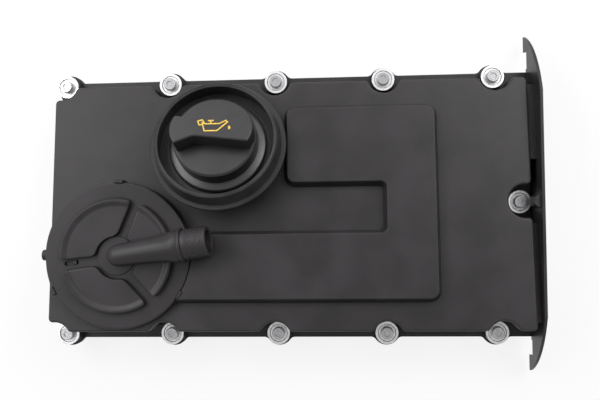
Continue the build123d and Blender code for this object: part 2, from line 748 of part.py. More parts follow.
# Sector pockets in the breather cover: upright beside the ribs, sloped at the outside
with BuildPart() as pockets:
    with BuildSketch(upright(COVER_TOP, DRUM)):
        Circle(SECTOR_R)
        Circle(HUB_R, mode=Mode.SUBTRACT)
        for turn in (*RIB_ANGLES, KEY_ANGLE):
            with PolarLocations((HUB_R + SECTOR_R) / 2, 1, start_angle=turn):
                Rectangle(SECTOR_R, RIB_W, mode=Mode.SUBTRACT)
        with PolarLocations((HUB_R + SECTOR_R) / 2, 1, start_angle=PIPE_ANGLE):
            Rectangle(SECTOR_R, PIPE_WEB, mode=Mode.SUBTRACT)
    extrude(amount=-SECTOR_DEPTH)
    upright_edges = pockets.edges().filter_by(Axis.Z)
    fillet(upright_edges, SECTOR_CORNER_R)
    with BuildSketch(upright(SECTOR_FLOOR, DRUM)):
        Circle(SECTOR_R - SECTOR_RUN)
    with BuildSketch(upright(COVER_TOP, DRUM)):
        Circle(SECTOR_R)
    loft(mode=Mode.INTERSECT)

# Breather cover: ribbed lid, skirt that clamps the diaphragm, and the outlet pipe
with BuildPart() as breather:
    with BuildSketch(upright(DRUM_TOP, DRUM)):
        Circle(COVER_R)
    extrude(amount=COVER_RIM_T)
    fillet(breather.faces().sort_by(Axis.Z)[-1].edges(), COVER_EDGE_R)
    with BuildSketch(upright(COVER_LOW, DRUM)):
        Circle(DRUM_BORE_R - FIT)
    extrude(amount=DRUM_TOP - COVER_LOW)
    with BuildSketch(upright(COVER_LOW, DRUM)):
        Circle(DRUM_BORE_R - FIT)
        Circle(DRUM_BORE_R - FIT - SKIRT_T, mode=Mode.SUBTRACT)
    extrude(amount=CLAMP_TOP - COVER_LOW)
    add(pockets.part, mode=Mode.SUBTRACT)
    with BuildSketch(upright(COVER_TOP, DRUM)):
        Circle(HUB_STEP_R)
    extrude(amount=HUB_STEP_H)
    with BuildSketch(upright(MOUTH_Z, MOUTH)):
        Circle(PIPE_ROOT_R)
    extrude(amount=COVER_TOP - MOUTH_Z)
    with Locations(PIPE.offset(ROOT_AT)):
        Sphere(PIPE_ROOT_R)
    add(
        turned(
            PIPE,
            (0, ROOT_AT),
            (PIPE_ROOT_R, ROOT_AT),
            (PIPE_END_R, BEAD_AT - BEAD_W),
            (BEAD_R, BEAD_AT - BEAD_W / 2),
            (BEAD_R, BEAD_AT + BEAD_W / 2),
            (SPIGOT_R, BEAD_AT + BEAD_W / 2),
            (SPIGOT_R, BEAD_AT + SPIGOT_L - COVER_EDGE_R),
            (SPIGOT_R - COVER_EDGE_R, BEAD_AT + SPIGOT_L),
            (0, BEAD_AT + SPIGOT_L),
        )
    )
    with BuildSketch(upright(SECTOR_FLOOR, DRUM)):
        with PolarLocations(BEAD_AT / 2, 1, start_angle=PIPE_ANGLE):
            Rectangle(BEAD_AT, PIPE_WEB)
    extrude(amount=PIPE_Z - PIPE_ROOT_R / 2 - SECTOR_FLOOR)
    with BuildSketch(PIPE.offset(ROOT_AT)):
        Circle(PIPE_ROOT_R - PIPE_WALL)
    extrude(amount=BEAD_AT + SPIGOT_L - ROOT_AT, mode=Mode.SUBTRACT)
    with BuildSketch(PIPE.offset(BEAD_AT + SPIGOT_L - SPIGOT_BORE_L)):
        Circle(SPIGOT_BORE_R)
    extrude(amount=SPIGOT_BORE_L, mode=Mode.SUBTRACT)
    with BuildSketch(upright(MOUTH_Z, MOUTH)):
        Circle(PIPE_ROOT_R - PIPE_WALL)
    extrude(amount=PIPE_Z - MOUTH_Z, mode=Mode.SUBTRACT)
    with BuildSketch(upright(COVER_TOP, DRUM)):
        with PolarLocations((KEY_FROM + KEY_TO) / 2, 1, start_angle=KEY_ANGLE):
            SlotOverall(KEY_TO - KEY_FROM, KEY_W)
    extrude(amount=-KEY_DEPTH, mode=Mode.SUBTRACT)
    with BuildSketch(upright(COVER_TOP - KEY_DEPTH, DRUM)):
        with PolarLocations(KEY_PIN_AT, 1, start_angle=KEY_ANGLE):
            Circle(KEY_PIN_R)
    extrude(amount=KEY_PIN_H)
    with BuildSketch(WINDOW):
        Rectangle(WINDOW_W, WINDOW_H)
    extrude(amount=WINDOW_L, mode=Mode.SUBTRACT)

with BuildPart() as breather_seal:
    with BuildSketch(upright(DRUM_TOP - SEAL_T, DRUM)):
        Circle(SEAL_MID_R + SEAL_W / 2)
        Circle(SEAL_MID_R - SEAL_W / 2, mode=Mode.SUBTRACT)
    extrude(amount=SEAL_T)

# Regulator: a rolled rubber diaphragm, its plate with a guide pin, and the spring
with BuildPart() as diaphragm:
    add(
        turned(
            upright(0, DRUM),
            (DRUM_BORE_R - FIT, CLAMP_Z),
            (DRUM_BORE_R - FIT, CLAMP_TOP),
            (ROLL_OUTER, CLAMP_TOP),
            (ROLL_OUTER - ROLL_W, ROLL_LOW + DIAPHRAGM_T),
            (ROLL_INNER + ROLL_W, ROLL_LOW + DIAPHRAGM_T),
            (ROLL_INNER, PLATE_LOW + PLATE_T - DIAPHRAGM_T / 2),
            (PLATE_R + BEAD_GRIP, PLATE_LOW + PLATE_T),
            (PLATE_R, PLATE_LOW + PLATE_T),
            (PLATE_R, PLATE_LOW),
            (ROLL_INNER, PLATE_LOW),
            (ROLL_INNER + ROLL_W - DIAPHRAGM_T, ROLL_LOW),
            (ROLL_OUTER - ROLL_W + DIAPHRAGM_T, ROLL_LOW),
            (ROLL_OUTER, CLAMP_Z),
        )
    )

with BuildPart() as regulator_plate:
    with BuildSketch(upright(PLATE_LOW, DRUM)):
        Circle(PLATE_R)
    extrude(amount=PLATE_T)
    with BuildSketch(upright(PLATE_LOW, DRUM)):
        Circle(PLATE_PIN_R)
    extrude(amount=-PLATE_PIN_L)

with BuildPart() as spring:
    with BuildLine() as coil:
        Helix(SPRING_L / SPRING_TURNS, SPRING_L, SPRING_R, center=(DRUM_X, DRUM_Y, SPRING_LOW))
    with BuildSketch(Plane(origin=coil.line @ 0, z_dir=coil.line % 0)):
        Circle(SPRING_WIRE / 2)
    sweep(is_frenet=True)

# Vent nozzle that lets the space under the diaphragm breathe
with BuildPart() as vent:
    with BuildSketch(VENT):
        Circle(VENT_R)
    extrude(amount=VENT_OUT)
    fillet(vent.faces().sort_by(Axis.X)[0].edges(), COVER_EDGE_R)
    with BuildSketch(VENT):
        Circle(VENT_STEM_R)
    extrude(amount=-(BULGE_R - CHAMBER_R))
    with BuildSketch(VENT.offset(VENT_OUT)):
        Circle(VENT_BORE_R)
    extrude(amount=-(BULGE_R - CHAMBER_R + VENT_OUT), mode=Mode.SUBTRACT)

# Captive bolts with waisted shanks, their washers, sleeves and rubber grommets
with BuildPart() as bolts:
    with BuildSketch(upright(0)):
        with Locations(*BOLTS):
            Circle(BOLT_R)
    extrude(amount=-BOLT_REACH)
    chamfer(bolts.faces().filter_by(Axis.Z).group_by(Axis.Z)[0].edges(), BOLT_POINT)
    with BuildSketch(upright(0)):
        with Locations(*BOLTS):
            Circle(SHANK_R)
    extrude(amount=WASHER_TOP)
    with BuildSketch(upright(WASHER_TOP)):
        with Locations(*BOLTS):
            Circle(HEAD_R)
    extrude(amount=HEAD_H)
    head_rims = bolts.faces().filter_by(Axis.Z).group_by(Axis.Z)[-1].edges()
    chamfer(head_rims, HEAD_CHAMFER)
    with BuildSketch(upright(WASHER_TOP + HEAD_H)):
        with Locations(*BOLTS):
            RegularPolygon(SOCKET_AF / 2, 6, major_radius=False)
    extrude(amount=-SOCKET_DEPTH, mode=Mode.SUBTRACT)

with BuildPart() as washers:
    with BuildSketch(upright(SLEEVE_TOP)):
        with Locations(*BOLTS):
            Circle(WASHER_R)
    extrude(amount=WASHER_T + WASHER_RIM)
    with BuildSketch(upright(WASHER_TOP)):
        with Locations(*BOLTS):
            Circle(WASHER_R - 2 * WASHER_T)
    extrude(amount=WASHER_RIM, taper=-SLANT, mode=Mode.SUBTRACT)
    with BuildSketch(upright(SLEEVE_TOP)):
        with Locations(*BOLTS):
            Circle(SHANK_R)
    extrude(amount=WASHER_T, mode=Mode.SUBTRACT)

with BuildPart() as sleeves:
    with BuildSketch():
        with Locations(*BOLTS):
            Circle(SLEEVE_R)
            Circle(BOLT_R + FIT, mode=Mode.SUBTRACT)
    extrude(amount=SLEEVE_TOP)

with BuildPart() as grommets:
    with BuildSketch(upright(GROMMET_LIP)):
        with Locations(*BOLTS):
            Circle(GROMMET_R)
    extrude(amount=BOSS_TOP - GROMMET_LIP)
    with BuildSketch(upright(BOSS_TOP)):
        with Locations(*BOLTS):
            Circle(WASHER_R - FIT)
    extrude(amount=GROMMET_LIP)
    with BuildSketch():
        with Locations(*BOLTS):
            Circle(SLEEVE_R)
    extrude(amount=SLEEVE_TOP, mode=Mode.SUBTRACT)

housing.part.label = "cover_housing"
export_step(housing.part, "parts/cover_housing.step")
gasket.part.label = "cover_gasket"
export_step(gasket.part, "parts/cover_gasket.step")
baffle.part.label = "separator_baffle"
export_step(baffle.part, "parts/separator_baffle.step")
baffle_screws.part.label = "baffle_screws"
export_step(baffle_screws.part, "parts/baffle_screws.step")
drain_valve.part.label = "drain_valve"
export_step(drain_valve.part, "parts/drain_valve.step")
collar.part.label = "filler_collar"
export_step(collar.part, "parts/filler_collar.step")
cap.part.label = "filler_cap"
export_step(cap.part, "parts/filler_cap.step")
bayonet.part.label = "cap_bayonet"
export_step(bayonet.part, "parts/cap_bayonet.step")
cap_seal.part.label = "filler_cap_seal"
export_step(cap_seal.part, "parts/filler_cap_seal.step")
breather.part.label = "breather_cover"
export_step(breather.part, "parts/breather_cover.step")
breather_seal.part.label = "breather_seal"
export_step(breather_seal.part, "parts/breather_seal.step")
diaphragm.part.label = "breather_diaphragm"
export_step(diaphragm.part, "parts/breather_diaphragm.step")
regulator_plate.part.label = "diaphragm_plate"
export_step(regulator_plate.part, "parts/diaphragm_plate.step")
spring.part.label = "regulator_spring"
export_step(spring.part, "parts/regulator_spring.step")
vent.part.label = "vent_nozzle"
export_step(vent.part, "parts/vent_nozzle.step")
bolts.part.label = "cover_bolts"
export_step(bolts.part, "parts/cover_bolts.step")
washers.part.label = "bolt_washers"
export_step(washers.part, "parts/bolt_washers.step")
sleeves.part.label = "bolt_sleeves"
export_step(sleeves.part, "parts/bolt_sleeves.step")
grommets.part.label = "bolt_grommets"
export_step(grommets.part, "parts/bolt_grommets.step")
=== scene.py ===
import math

import bmesh
import bpy
from mathutils import Matrix, Vector


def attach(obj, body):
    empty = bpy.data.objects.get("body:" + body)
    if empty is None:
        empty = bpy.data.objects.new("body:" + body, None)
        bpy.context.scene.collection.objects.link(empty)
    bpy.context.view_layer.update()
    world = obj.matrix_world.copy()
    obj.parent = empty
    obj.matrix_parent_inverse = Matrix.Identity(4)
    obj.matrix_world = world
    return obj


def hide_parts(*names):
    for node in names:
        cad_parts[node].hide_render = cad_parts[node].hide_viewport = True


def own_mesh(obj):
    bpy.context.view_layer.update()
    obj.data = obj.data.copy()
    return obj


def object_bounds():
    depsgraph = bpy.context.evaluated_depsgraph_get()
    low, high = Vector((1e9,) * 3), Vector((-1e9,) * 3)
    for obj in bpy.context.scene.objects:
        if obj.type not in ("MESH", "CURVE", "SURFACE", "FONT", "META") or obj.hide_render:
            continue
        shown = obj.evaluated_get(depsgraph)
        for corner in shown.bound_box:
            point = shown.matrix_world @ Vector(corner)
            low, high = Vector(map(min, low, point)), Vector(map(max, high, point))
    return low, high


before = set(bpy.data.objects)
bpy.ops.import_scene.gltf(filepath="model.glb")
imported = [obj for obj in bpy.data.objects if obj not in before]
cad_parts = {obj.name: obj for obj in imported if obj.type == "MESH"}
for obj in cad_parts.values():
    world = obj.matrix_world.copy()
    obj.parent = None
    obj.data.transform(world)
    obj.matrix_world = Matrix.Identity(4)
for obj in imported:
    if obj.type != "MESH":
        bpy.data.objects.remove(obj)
CAD_LOW, CAD_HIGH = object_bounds()

MM = 0.001
UP = Vector((0.0, 0.0, 1.0))

# Camera, fitted to the bolt heads: turn about X, Y and Z in degrees, then shift and distance
CAMERA_TURN = (-1.6053, -3.9127, 0.8226)
CAMERA_SHIFT = Vector((-17.670, -6.111, 0.0)) * MM
CAMERA_DISTANCE = 609.96 * MM
CAMERA_NEAR = 10 * MM
CAMERA_FAR = 20.0
SENSOR = 36.0
FOCAL = 43.5

# Places of the part that scene pieces sit on
DRUM = Vector((-122.6, -37.0, 0.0)) * MM
PIPE_START = Vector((-122.6, -37.0, 59.5)) * MM
PIPE_ANGLE = math.radians(8.3)
PIPE_RISE = math.radians(4.5)
NECK = Vector((-42.6, 48.4, 49.3)) * MM
NECK_LEAN = math.radians(17.5)
GRIP_TOP = 31.5 * MM
HEAD_R = 5.0 * MM
HEAD_LOW = 13.8 * MM
HEAD_TOP = 18.6 * MM
BOLT_COLUMNS = [x * MM for x in (-176.0, -88.0, 0.0, 88.0, 176.0)]
BOLT_ROW = 103.0 * MM
END_BOLT = (195.5 * MM, 1.5 * MM)
BOLTS = [(x, side * BOLT_ROW) for side in (1, -1) for x in BOLT_COLUMNS] + [END_BOLT]

# Lamps: place, size and power in watts, all aimed at the middle of the part
LAMPS = {
    "lamp_north": ((-0.25, 0.84, 1.1), (1.5, 0.8), 4.4),
    "lamp_north_low": ((-0.1, 1.2, 0.6), (1.4, 0.5), 4.2),
    "lamp_northwest": ((-0.75, 0.6, 0.9), (0.7, 0.6), 5.6),
    "lamp_west": ((-0.85, 0.1, 1.0), (0.8, 0.6), 5.4),
    "lamp_northeast": ((0.7, 0.6, 1.0), (0.8, 0.6), 11.5),
}

# World's light on the part, at the horizon and overhead
WORLD_LOW = 0.05
WORLD_HIGH = 0.2

# Floor, and the share of plain white in what the camera and the gloss see of it
FLOOR_Z = CAD_LOW.z
FLOOR_SIZE = 8.0
FLOOR_TONE = 0.86
FLOOR_GLOW = 0.85

# Colour sockets of a Mix node, which share their names with its other kinds
MIX_FIRST = 6
MIX_SECOND = 7
MIX_RESULT = 2

# Samples of the nodes that look round a point
BEVEL_SAMPLES = 4
OPENNESS_SAMPLES = 8

# Plastic: noises in features per metre, heights in metres, and gains on the colour
CLOUD_SCALE = 34.0
GRAIN_SCALE = 2600.0
FLOW_SCALE = 9.0
FLOW_STRETCH = (1.0, 2.4, 1.0)
FLOW_STRENGTH = 0.05
FLOW_DEPTH = 0.4 * MM
GRAIN_DEPTH = 0.06 * MM
CLOUD_GAINS = (0.82, 1.18)
# Paler edges, worn and with a painted highlight: gain and lift on the colour
WEAR_HIGHLIGHT_GAIN = 2.3
WEAR_HIGHLIGHT_LIFT = 0.012
# Painted shade in creases: gain on the colour there
CREASE_SHADE_GAIN = 0.15

# Worn edges with a painted highlight, and creases with painted shade: how far a rounded normal turns, and
# how near a wall stands
EDGE_TURNED = 0.93
EDGE_FLAT = 0.995
WEAR_HIGHLIGHT_SHARE = 0.35
CREASE_REACH = 4.0 * MM
CREASE_SHUT = 0.45
CREASE_OPEN = 0.8

# Knurled band of a bolt head
KNURL_COUNT = 36
KNURL_DEPTH = 0.14 * MM
KNURL_LOW = 0.8 * MM
KNURL_EDGE = 0.7 * MM

# Steps round a turned ring
ROUND_STEPS = 96

# Outer skin of the pipe's end: radius and distance along the pipe, in millimetres
PIPE_SKIN = (
    (9.3, 30.0),
    (9.7, 29.0),
    (10.15, 33.5),
    (10.6, 38.5),
    (11.2, 43.0),
    (11.9, 46.2),
    (12.4, 48.6),
    (12.45, 51.9),
    (12.2, 53.9),
    (12.7, 54.3),
    (13.2, 54.9),
    (13.2, 56.3),
    (12.7, 56.9),
    (11.65, 57.1),
    (11.65, 75.8),
    (11.0, 76.5),
    (9.5, 76.5),
    (8.97, 76.0),
    (8.97, 70.0),
    (10.5, 70.0),
    (10.5, 48.0),
)

# Fine rings on the spigot, in millimetres: places along the pipe, and one ring's section
RIDGE_COUNT = 11
RIDGE_FIRST = 60.6
RIDGE_PITCH = 1.4
RIDGE_SECTION = (
    (11.35, -0.448),
    (11.888, -0.28),
    (11.99, 0.0),
    (11.888, 0.28),
    (11.35, 0.448),
)

# Sloped ring on the filler cap's flange: radius and distance along the axis, in millimetres
FLANGE_SLOPE = (
    (32.0, -0.6),
    (32.0, 1.4),
    (32.6, 1.4),
    (37.3, -0.1),
    (38.1, -0.8),
    (38.1, -1.6),
    (37.4, -1.9),
)

# Level face of the breather's lid, in millimetres and degrees about the drum's axis
LID_TOP = 51.0
LID_SKIN = 0.04
LID_R = 56.4
LID_STEP = 4
HUB_FACE_R = 12.0
SLOT_IN, SLOT_OUT = 30.5, 43.2
SLOT_FROM, SLOT_TO = 184.2, 192.8

# Raised pads on the lid, in millimetres: the outer bead's radii and the top's heights
PAD_R = 44.8
PAD_BAND_R = 39.5
PAD_CREST_R = 43.0
PAD_FLOOR = 55.6
PAD_RISE = 1.4
PAD_FALL = 1.9

# Hub that the pads stop at, and how far out its offset from the drum's axis fades
PAD_HUB = Vector((0.6, -1.6))
PAD_HUB_R = 16.8
PAD_HUB_FADE = 12.0

# Pads' rounded corners and top edges: inset and drop in shares of the edge, then the wall
PAD_CORNER_R = 3.6
PAD_EDGE = 0.55
PAD_EDGE_STEPS = ((0.3, 0.3), (0.0, 1.0), (0.0, None))

# Grid over a pad, and the search for the angle at which a row meets a side
PAD_COLUMNS = 44
PAD_ROWS = (
    0.0, 0.15, 0.5, 1.1, 2.0, 3.2, 5.0, 8.0, 13.0, 18.0,
    21.5, 22.7, 24.0, 25.2, 26.3, 27.1, 27.6, 27.9, 28.0,
)
PAD_SEARCH = 1.2
PAD_HALVINGS = 40

# Each pad's two straight sides, anticlockwise: two points on each
PAD_SIDES = (
    (((2.3, 18.0), (10.8, 37.9)), ((-20.7, -0.7), (-29.9, -1.6))),
    (((-16.7, -8.2), (-40.2, -11.2)), ((6.8, -18.8), (22.0, -35.0))),
    (((11.3, -11.6), (27.1, -29.0)), ((20.0, 2.9), (40.0, 5.8))),
    (((20.0, 2.9), (40.0, 5.8)), ((8.8, 12.3), (18.5, 36.9))),
)

# Regulator's spring between the plate and the lid
SPRING_R = 14.0 * MM
SPRING_WIRE_R = 0.65 * MM
SPRING_TURNS = 1.75
SPRING_LOW = 36.0 * MM
SPRING_HIGH = 44.0 * MM
SPRING_STEPS = 112
SPRING_SIDES = 12

# Oil can sign on the grip: lines in millimetres and whether they close, and one drop
SIGN_AT = Vector((2.2, 1.6, 0.0)) * MM
SIGN_T = 0.14 * MM
SIGN_LINE = 0.95 * MM
SIGN_LINES = (
    (((-8.4, 2.6), (-6.6, -3.9), (2.9, -3.9), (10.6, 2.9), (9.3, 4.2), (4.4, 1.7), (-5.4, 1.7)), True),
    (((-6.4, 1.8), (-8.4, 5.0), (-11.8, 4.0), (-10.6, 0.9), (-7.6, 1.3)), False),
    (((-2.0, 2.2), (-2.0, 3.9)), False),
    (((-4.2, 4.3), (0.2, 4.3)), False),
)
MITRE_LEAST = 0.4
DROP_AT = Vector((11.9, -1.6)) * MM
DROP_R = 0.95 * MM
DROP_STRETCH = 1.6
DROP_STEPS = 20


def shade(colour, gain=1.0, lift=0.0):
    """Colour with an alpha, made lighter or darker."""
    return tuple(c * gain + lift for c in colour) + (1.0,)


def smooth(obj, angle):
    """Smooth shading that keeps edges sharper than an angle in degrees."""
    mesh = obj.data
    mesh.polygons.foreach_set("use_smooth", [True] * len(mesh.polygons))
    mesh.set_sharp_from_angle(angle=math.radians(angle))
    mesh.update()


def add_mesh(name, bm, material, body):
    """Turns a bmesh into a scene piece that rides on a body."""
    bmesh.ops.recalc_face_normals(bm, faces=bm.faces)
    mesh = bpy.data.meshes.new(name)
    bm.to_mesh(mesh)
    bm.free()
    mesh.materials.append(material)
    obj = bpy.data.objects.new(name, mesh)
    bpy.context.scene.collection.objects.link(obj)
    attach(obj, body)
    return obj


class Nodes:
    """A node tree with short calls for its nodes."""

    def __init__(self, tree):
        self.tree = tree

    def add(self, kind, inputs=(), **settings):
        """New node with its settings and its input values or links."""
        node = self.tree.nodes.new(kind)
        for key, value in settings.items():
            setattr(node, key, value)
        for key, value in dict(inputs).items():
            self.feed(node.inputs[key], value)
        return node

    def feed(self, socket, value):
        """Links a socket to another node, or sets its value."""
        if isinstance(value, bpy.types.NodeSocket):
            self.tree.links.new(value, socket)
        else:
            socket.default_value = value

    def calc(self, operation, first, second):
        """Result of a Math node on two values or links."""
        return self.add("ShaderNodeMath", {0: first, 1: second}, operation=operation).outputs[0]

    def remap(self, value, low, high, out_low, out_high):
        """Maps a value from one range to another, clamped."""
        inputs = {
            "Value": value,
            "From Min": low,
            "From Max": high,
            "To Min": out_low,
            "To Max": out_high,
        }
        return self.add("ShaderNodeMapRange", inputs).outputs["Result"]

    def seen(self):
        """One where the camera, gloss or glass looks, and zero for light on the part."""
        ray = self.add("ShaderNodeLightPath")
        shown = ray.outputs["Is Camera Ray"]
        for kind in ("Is Glossy Ray", "Is Transmission Ray"):
            shown = self.calc("MAXIMUM", shown, ray.outputs[kind])
        return shown


class Shader(Nodes):
    """A material's node tree, with calls for what surfaces need."""

    def __init__(self, name):
        self.material = bpy.data.materials.new(name)
        self.material.use_nodes = True
        super().__init__(self.material.node_tree)
        self.surface = self.tree.nodes["Principled BSDF"]
        self.place = self.add("ShaderNodeTexCoord").outputs["Object"]

    def noise(self, scale, detail=2.0, roughness=0.5, stretch=None):
        """Noise value at a scale in features per metre."""
        place = self.place
        if stretch:
            mapping = self.add("ShaderNodeMapping", {"Vector": place, "Scale": stretch})
            place = mapping.outputs["Vector"]
        values = {"Vector": place, "Scale": scale, "Detail": detail, "Roughness": roughness}
        return self.add("ShaderNodeTexNoise", values).outputs["Fac"]

    def mix(self, share, first, second):
        """Colour mixed from two colours or links by a share."""
        inputs = {"Factor": share, MIX_FIRST: first, MIX_SECOND: second}
        return self.add("ShaderNodeMix", inputs, data_type="RGBA").outputs[MIX_RESULT]

    def bump(self, height, strength, distance, normal=None):
        """Bump normal from a height."""
        inputs = {"Height": height, "Strength": strength, "Distance": distance}
        if normal is not None:
            inputs["Normal"] = normal
        return self.add("ShaderNodeBump", inputs).outputs["Normal"]

    def soft_edges(self, radius):
        """Normal that rounds off edges, as on a moulded or machined piece."""
        return self.add("ShaderNodeBevel", {"Radius": radius}, samples=BEVEL_SAMPLES).outputs["Normal"]

    def openness(self, reach):
        """Share of the surroundings within reach that is free, low in creases."""
        values = {"Distance": reach}
        return self.add("ShaderNodeAmbientOcclusion", values, samples=OPENNESS_SAMPLES).outputs["AO"]

    def flatness(self, rounded):
        """Cosine between a rounded normal and the surface's own, low along edges."""
        flat = self.add("ShaderNodeNewGeometry").outputs["Normal"]
        both = {0: rounded, 1: flat}
        return self.add("ShaderNodeVectorMath", both, operation="DOT_PRODUCT").outputs["Value"]

    def set(self, **values):
        """Sets the surface shader's sockets by name, with underscores for spaces."""
        for key, value in values.items():
            self.feed(self.surface.inputs[key.replace("_", " ")], value)
        return self.material


def grained_plastic(name, colour, roughness, grain, edge, shine=0.22):
    """Moulded black plastic: fine spark grain, cloudy gloss, paler edges that are worn and carry a painted
    highlight, and painted shade in creases.
    """
    s = Shader(name)
    cloud = s.noise(CLOUD_SCALE, 3.0)
    grains = s.noise(GRAIN_SCALE, 2.0, 0.6)
    flow = s.noise(FLOW_SCALE, stretch=FLOW_STRETCH)
    dark, light = (shade(colour, gain) for gain in CLOUD_GAINS)
    base = s.mix(s.remap(cloud, 0.35, 0.65, 0.0, 1.0), dark, light)
    rounded = s.soft_edges(edge * MM)
    # Paler along edges: wear and a painted highlight, patchy by the cloud noise
    wear_and_highlight = s.remap(s.flatness(rounded), EDGE_TURNED, EDGE_FLAT, WEAR_HIGHLIGHT_SHARE, 0.0)
    patchy_wear_and_highlight = s.calc("MULTIPLY", wear_and_highlight, s.remap(cloud, 0.4, 0.62, 0.3, 1.0))
    base = s.mix(patchy_wear_and_highlight, base, shade(colour, WEAR_HIGHLIGHT_GAIN, WEAR_HIGHLIGHT_LIFT))
    # Painted shade: the colour darkens in creases and near walls, where ambient occlusion is low
    open_share = s.remap(s.openness(CREASE_REACH), CREASE_SHUT, CREASE_OPEN, 0.0, 1.0)
    base = s.mix(open_share, shade(colour, CREASE_SHADE_GAIN), base)
    fine = s.bump(grains, grain, GRAIN_DEPTH, rounded)
    shape = s.bump(flow, FLOW_STRENGTH, FLOW_DEPTH, fine)
    gloss = s.remap(cloud, 0.3, 0.7, roughness - 0.04, roughness + 0.05)
    return s.set(Base_Color=base, Roughness=gloss, Normal=shape, Specular_IOR_Level=shine)


def rubber(name, colour, roughness=0.62):
    """Matt moulded rubber with faint bloom."""
    s = Shader(name)
    bloom = s.noise(60.0, 4.0, 0.6)
    pores = s.noise(3400.0, 1.0)
    bloomed = s.remap(bloom, 0.35, 0.7, 0.0, 1.0)
    base = s.mix(bloomed, shade(colour, 0.75), shade(colour, 1.35, 0.002))
    normal = s.bump(pores, 0.25, 0.04 * MM, s.soft_edges(0.4 * MM))
    gloss = s.remap(bloom, 0.3, 0.7, roughness - 0.06, roughness + 0.06)
    return s.set(Base_Color=base, Roughness=gloss, Normal=normal, Specular_IOR_Level=0.25)


def plated_steel(name, colour, roughness):
    """Bright zinc-plated steel with fine drawn marks and dull patches."""
    s = Shader(name)
    patches = s.noise(420.0, 3.0, 0.6)
    marks = s.noise(1500.0, stretch=(1.0, 1.0, 9.0))
    base = s.mix(s.remap(patches, 0.35, 0.6, 0.0, 1.0), shade(colour, 0.8), shade(colour))
    normal = s.bump(marks, 0.12, 0.03 * MM, s.soft_edges(0.3 * MM))
    gloss = s.remap(patches, 0.3, 0.7, roughness + 0.1, roughness - 0.05)
    return s.set(Base_Color=base, Roughness=gloss, Normal=normal, Metallic=0.9)


def ink(name, colour):
    """Printed paint of slightly uneven thickness."""
    s = Shader(name)
    spots = s.noise(900.0)
    base = s.mix(s.remap(spots, 0.35, 0.6, 0.0, 1.0), shade(colour, 0.7), shade(colour))
    normal = s.bump(spots, 0.15, 0.03 * MM)
    return s.set(Base_Color=base, Roughness=0.42, Normal=normal)


HOUSING_BLACK = (0.0216, 0.0198, 0.0213)
BREATHER_BLACK = (0.0222, 0.0202, 0.0218)
CAP_BLACK = (0.023, 0.022, 0.0236)
# Painted light: the flange ring gets a lighter copy of the cap's black
FLANGE_PAINTED_LIGHT_BLACK = (0.026, 0.025, 0.0268)
MATERIALS = {
    "cover_housing": grained_plastic("housing_plastic", HOUSING_BLACK, 0.4, 0.55, 0.7, shine=0.23),
    "breather_cover": grained_plastic("breather_plastic", BREATHER_BLACK, 0.39, 0.45, 0.6, shine=0.23),
    "vent_nozzle": grained_plastic("vent_plastic", (0.022, 0.0213, 0.022), 0.45, 0.3, 0.4),
    "separator_baffle": grained_plastic("baffle_plastic", (0.05, 0.05, 0.052), 0.4, 0.2, 0.4),
    "filler_cap": grained_plastic("cap_plastic", CAP_BLACK, 0.32, 0.25, 0.6, shine=0.27),
    "cap_bayonet": grained_plastic("bayonet_plastic", (0.05, 0.05, 0.052), 0.38, 0.2, 0.4),
    "diaphragm_plate": grained_plastic("plate_plastic", (0.08, 0.08, 0.08), 0.4, 0.15, 0.3),
    "filler_collar": rubber("collar_rubber", (0.021, 0.0204, 0.0212), 0.5),
    "cover_gasket": rubber("gasket_rubber", (0.03, 0.03, 0.031)),
    "filler_cap_seal": rubber("seal_rubber", (0.03, 0.03, 0.03)),
    "breather_seal": rubber("breather_seal_rubber", (0.03, 0.03, 0.03)),
    "breather_diaphragm": rubber("diaphragm_rubber", (0.02, 0.02, 0.02), 0.45),
    "drain_valve": rubber("valve_rubber", (0.16, 0.05, 0.03), 0.5),
    "bolt_grommets": rubber("grommet_rubber", (0.035, 0.035, 0.038)),
    "cover_bolts": plated_steel("bolt_steel", (0.36, 0.355, 0.365), 0.26),
    "bolt_washers": plated_steel("washer_steel", (0.6, 0.59, 0.6), 0.33),
    "bolt_sleeves": plated_steel("sleeve_steel", (0.6, 0.6, 0.6), 0.35),
    "baffle_screws": plated_steel("screw_steel", (0.6, 0.6, 0.6), 0.3),
    "regulator_spring": plated_steel("spring_steel", (0.55, 0.55, 0.56), 0.25),
}
# Lighter, glossier copy of the cap's plastic for the flange ring: its lighter colour is painted light
FLANGE_PAINTED_LIGHT_PLASTIC = grained_plastic("cap_flange_painted_light_plastic", FLANGE_PAINTED_LIGHT_BLACK, 0.3, 0.2, 0.5, shine=0.42)
SIGN_PAINT = ink("sign_paint", (0.78, 0.5, 0.05))


def dress_nodes():
    """Gives every carried-over node its material."""
    for name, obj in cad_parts.items():
        for place in obj.material_slots:
            place.material = MATERIALS[name]


def bridge(bm, ring, after):
    """Joins two closed rings of the same count with a band of faces."""
    for i in range(len(ring)):
        j = (i + 1) % len(ring)
        bm.faces.new((ring[i], ring[j], after[j], after[i]))


def capped_band(bm, low, high):
    """Closes the space between two rings: a wall and two ends."""
    bridge(bm, low, high)
    bm.faces.new(high)
    bm.faces.new(list(reversed(low)))


def knurled_heads():
    """Fine knurled bands round the bolt heads."""
    bm = bmesh.new()
    for x, y in BOLTS:
        rims = []
        for level in (HEAD_LOW + KNURL_LOW, HEAD_TOP - KNURL_EDGE):
            rim = []
            for step in range(2 * KNURL_COUNT):
                turn = math.pi * step / KNURL_COUNT
                radius = HEAD_R + (KNURL_DEPTH if step % 2 else -KNURL_DEPTH / 2)
                rim.append(bm.verts.new((x + radius * math.cos(turn), y + radius * math.sin(turn), level)))
            rims.append(rim)
        capped_band(bm, *rims)
    add_mesh("bolt_knurling", bm, MATERIALS["cover_bolts"], "cover")


